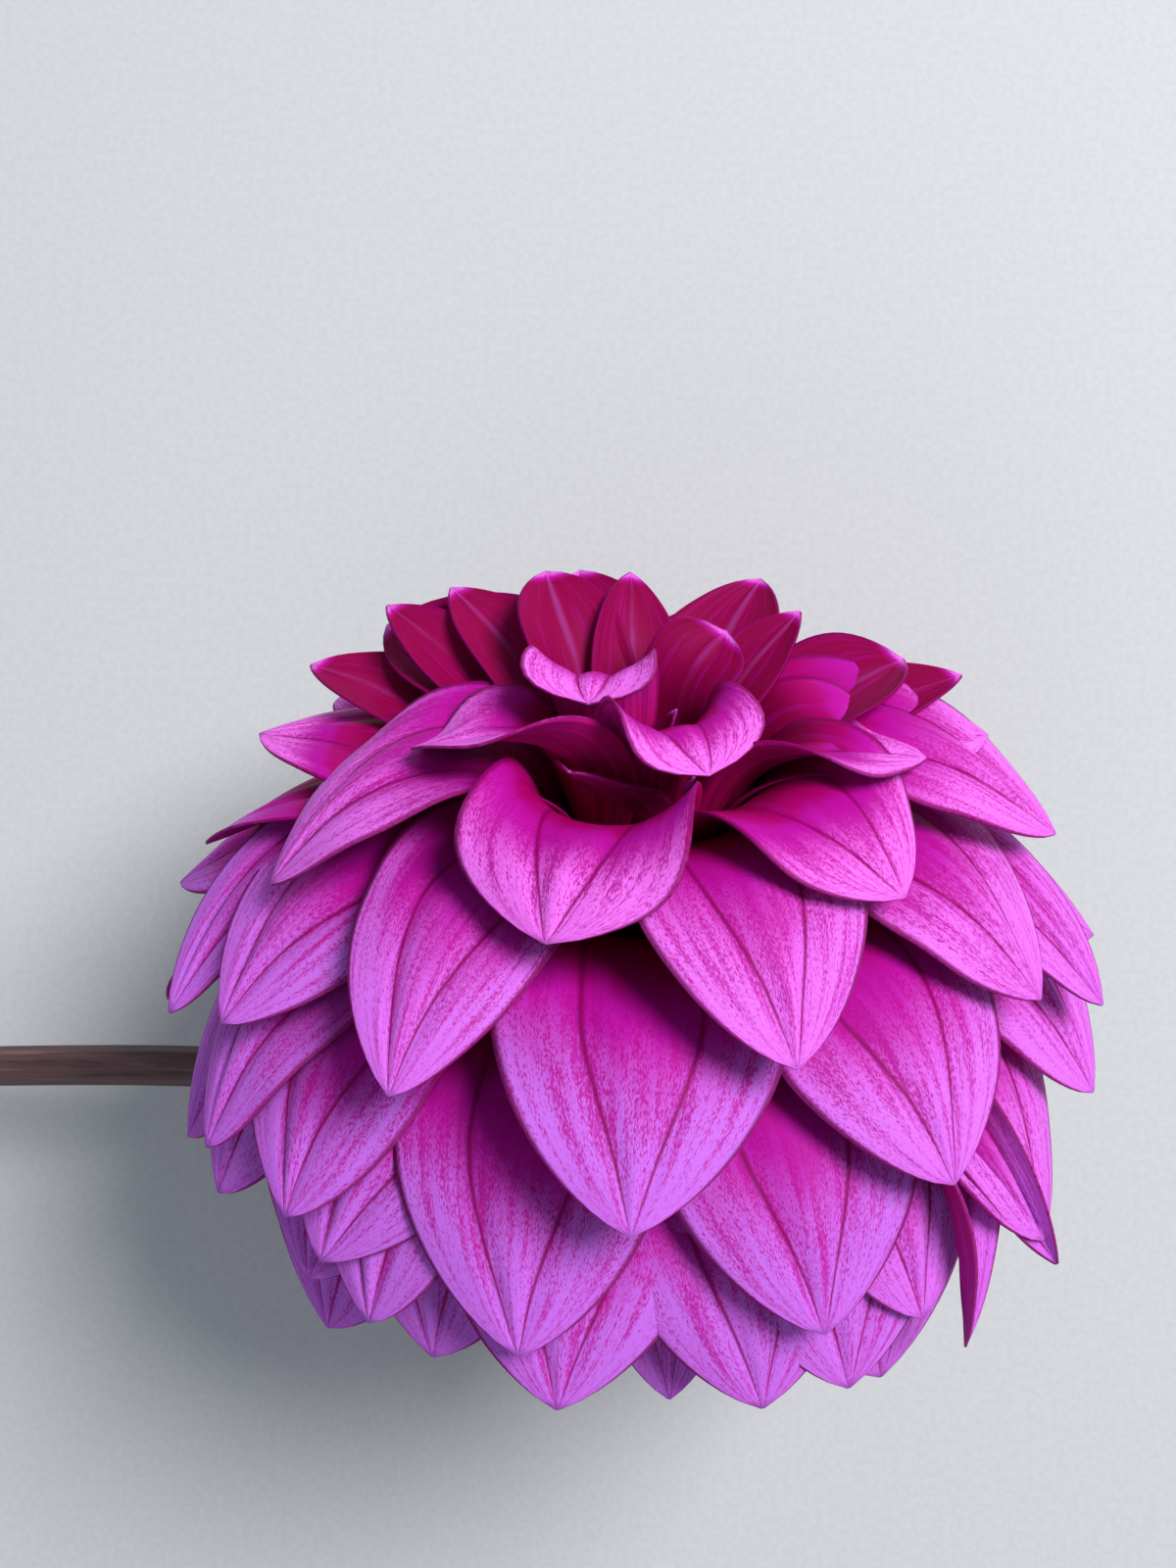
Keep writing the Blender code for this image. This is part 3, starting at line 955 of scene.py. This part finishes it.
class DAHLIA_OT_stem(Operator):
    """Make the ribbed stem, with its hollow cut end"""

    bl_idname = "dahlia.stem"
    bl_label = "Stem"

    def execute(self, context):
        look = context.scene.dahlia_stem
        route, run = stem_route()

        def place(across, along):
            turn = across * math.pi
            inward = np.clip((along - SKIN_SHARE) / (1 - SKIN_SHARE), 0, 1)
            into = blend(0, look.hollow_depth, (inward - CUT_FACE_SHARE) / 0.5)
            far = np.clip(along / SKIN_SHARE, 0, 1) * run[-1] - into
            middle = np.stack([np.interp(far, run, route[:, k]) for k in range(3)], axis=1)
            slope = np.stack([np.interp(far, run, np.gradient(route[:, k], run)) for k in range(3)], axis=1)
            slope /= np.linalg.norm(slope, axis=1, keepdims=True)
            level = np.cross(slope, [0.0, 0.0, 1.0])
            level /= np.linalg.norm(level, axis=1, keepdims=True)
            rise = np.cross(level, slope)
            ribs = look.rib * (np.cos(turn * look.ribs) - 1)
            flare = 0.12 * blend(1, 0, far / (6 * MM)) * look.radius
            outer = look.radius + ribs + flare
            radius = outer + (look.hollow - outer) * blend(0, 1, inward / CUT_FACE_SHARE)
            radius = radius * blend(1, 0, (inward - 0.85) / 0.15) * blend(0, 1, along / 0.004)
            cos, sin = (radius * np.cos(turn))[:, None], (radius * np.sin(turn))[:, None]
            spots = middle + level * cos + rise * sin
            spots[:, 2] = np.maximum(spots[:, 2], 0.02 * MM)
            return spots

        piece = laid_grid("ribbed_stem", 72, 400, place)
        close_up()
        piece.data.materials.append(shared("stem_skin", stem_skin, look))
        piece.data.materials.append(shared("cut_pith", cut_pith, look))
        for face in piece.data.polygons:
            rows = [piece.data.uv_layers[0].data[loop].uv[1] for loop in face.loop_indices]
            face.material_index = 1 if min(rows) >= SKIN_SHARE - 0.001 else 0
        finish_piece(piece, "stem", "stem")
        return {"FINISHED"}


class DahliaStageSettings(PropertyGroup):
    """The floor, the lights and the camera"""

    floor: colour("Floor", "Colour of the floor", 0.60, 0.62, 0.64)
    distance: length("Camera distance", "From the bloom's centre", 235)
    lens: FloatProperty(name="Lens", description="Focal length in millimetres", default=38.25)
    key: FloatProperty(name="Key light", description="Power of the upper light", default=21, unit="POWER")
    fill: FloatProperty(name="Fill light", description="Power of the low light", default=2, unit="POWER")
    sky: FloatProperty(name="Sky", description="Strength of the light from all round", default=0.30)


def stage_material(look):
    """The floor: a matt card with a faint grain."""
    shader = Shader("floor_card")
    grain = shader.noise(shader.node("ShaderNodeTexCoord").outputs["Object"], 900.0, 3.0)
    tone = shader.spread(grain, 0.3, 0.7, 0.97, 1.03)
    shader.set(base_color=shader.mix(1.0, tuple(look.floor), tone, "MULTIPLY"), roughness=0.85)
    return shader.material


def aim(obj, target):
    """Turns a light to face the target."""
    obj.rotation_euler = (target - obj.location).to_track_quat("-Z", "Y").to_euler()


def soft_light(name, place, target, size, power, tint):
    """A round area light."""
    lamp = bpy.data.lights.new(name, "AREA")
    lamp.shape = "DISK"
    lamp.size = size
    lamp.energy = power
    lamp.color = tint
    obj = bpy.data.objects.new(name, lamp)
    bpy.context.scene.collection.objects.link(obj)
    obj.location = place
    aim(obj, target)


def camera(look):
    """Looks down on the bloom, with the stem running out of view to the left and space above."""
    view = bpy.data.cameras.new("camera")
    view.lens = look.lens
    obj = bpy.data.objects.new("camera", view)
    bpy.context.scene.collection.objects.link(obj)
    back = Vector((0, -math.sin(CAMERA_TILT), math.cos(CAMERA_TILT)))
    up = Vector((0, math.cos(CAMERA_TILT), math.sin(CAMERA_TILT)))
    side = Vector((1, 0, 0))
    view_height = look.distance * view.sensor_width / look.lens
    offset = (side * CAMERA_SIDE + up * CAMERA_UP) * view_height
    pose = Matrix((side, up, back)).transposed().to_4x4()
    pose.translation = BLOOM_CENTRE + back * look.distance + offset
    obj.matrix_world = pose
    view.clip_start = 0.01
    bpy.context.scene.camera = obj


class DAHLIA_OT_stage(Operator):
    """Make the floor, the lights and the camera"""

    bl_idname = "dahlia.stage"
    bl_label = "Stage"

    def execute(self, context):
        look = context.scene.dahlia_stage
        clean_selection()
        bpy.ops.mesh.primitive_plane_add(size=6)
        floor = context.object
        floor.name = "floor"
        floor.data.materials.append(stage_material(look))
        centre = BLOOM_CENTRE
        soft_light("key", centre + Vector((0.62, 0.55, 1.10)), centre, 0.65, look.key, (1.0, 0.98, 0.97))
        soft_light("fill", centre + Vector((-0.50, -1.00, 1.10)), centre, 1.0, look.fill, (0.86, 0.92, 1.0))
        world = bpy.data.worlds.new("studio")
        world.use_nodes = True
        world.node_tree.nodes["Background"].inputs[0].default_value = (0.82, 0.90, 1.0, 1)
        world.node_tree.nodes["Background"].inputs[1].default_value = look.sky
        context.scene.world = world
        context.scene.view_settings.view_transform = "Standard"
        camera(look)
        return {"FINISHED"}


PANEL_GROUPS = (
    ("Petals", "dahlia_petals", ("dahlia.petals", "dahlia.more_petals", "dahlia.florets")),
    (
        "Centre",
        "dahlia_centre",
        ("dahlia.receptacle", "dahlia.bud", "dahlia.bract_cup", "dahlia.outer_bracts"),
    ),
    ("Stem", "dahlia_stem", ("dahlia.stem",)),
    ("Stage", "dahlia_stage", ("dahlia.stage",)),
)


class DAHLIA_PT_panel(Panel):
    """Lists the pieces and their settings"""

    bl_idname = "DAHLIA_PT_panel"
    bl_label = "Dahlia"
    bl_space_type = "VIEW_3D"
    bl_region_type = "UI"
    bl_category = "Dahlia"

    def draw(self, context):
        for title, settings, operators in PANEL_GROUPS:
            box = self.layout.box()
            box.label(text=title)
            group = getattr(context.scene, settings)
            for name in group.__annotations__:
                box.prop(group, name)
            for operator in operators:
                box.operator(operator)


SETTINGS = {
    "dahlia_petals": DahliaPetalSettings,
    "dahlia_centre": DahliaCentreSettings,
    "dahlia_stem": DahliaStemSettings,
    "dahlia_stage": DahliaStageSettings,
}

CLASSES = (
    *SETTINGS.values(),
    DAHLIA_OT_petals,
    DAHLIA_OT_more_petals,
    DAHLIA_OT_florets,
    DAHLIA_OT_receptacle,
    DAHLIA_OT_bud,
    DAHLIA_OT_bract_cup,
    DAHLIA_OT_outer_bracts,
    DAHLIA_OT_stem,
    DAHLIA_OT_stage,
    DAHLIA_PT_panel,
)


def register():
    for made in CLASSES:
        bpy.utils.register_class(made)
    for name, group in SETTINGS.items():
        setattr(bpy.types.Scene, name, PointerProperty(type=group))


def unregister():
    for name in SETTINGS:
        delattr(bpy.types.Scene, name)
    for made in reversed(CLASSES):
        bpy.utils.unregister_class(made)


def main():
    register()
    bpy.ops.dahlia.petals()
    bpy.ops.dahlia.more_petals()
    bpy.ops.dahlia.florets()
    bpy.ops.dahlia.receptacle()
    bpy.ops.dahlia.bud()
    bpy.ops.dahlia.bract_cup()
    bpy.ops.dahlia.outer_bracts()
    bpy.ops.dahlia.stem()
    bpy.ops.dahlia.stage()


if __name__ == "__main__":
    main()
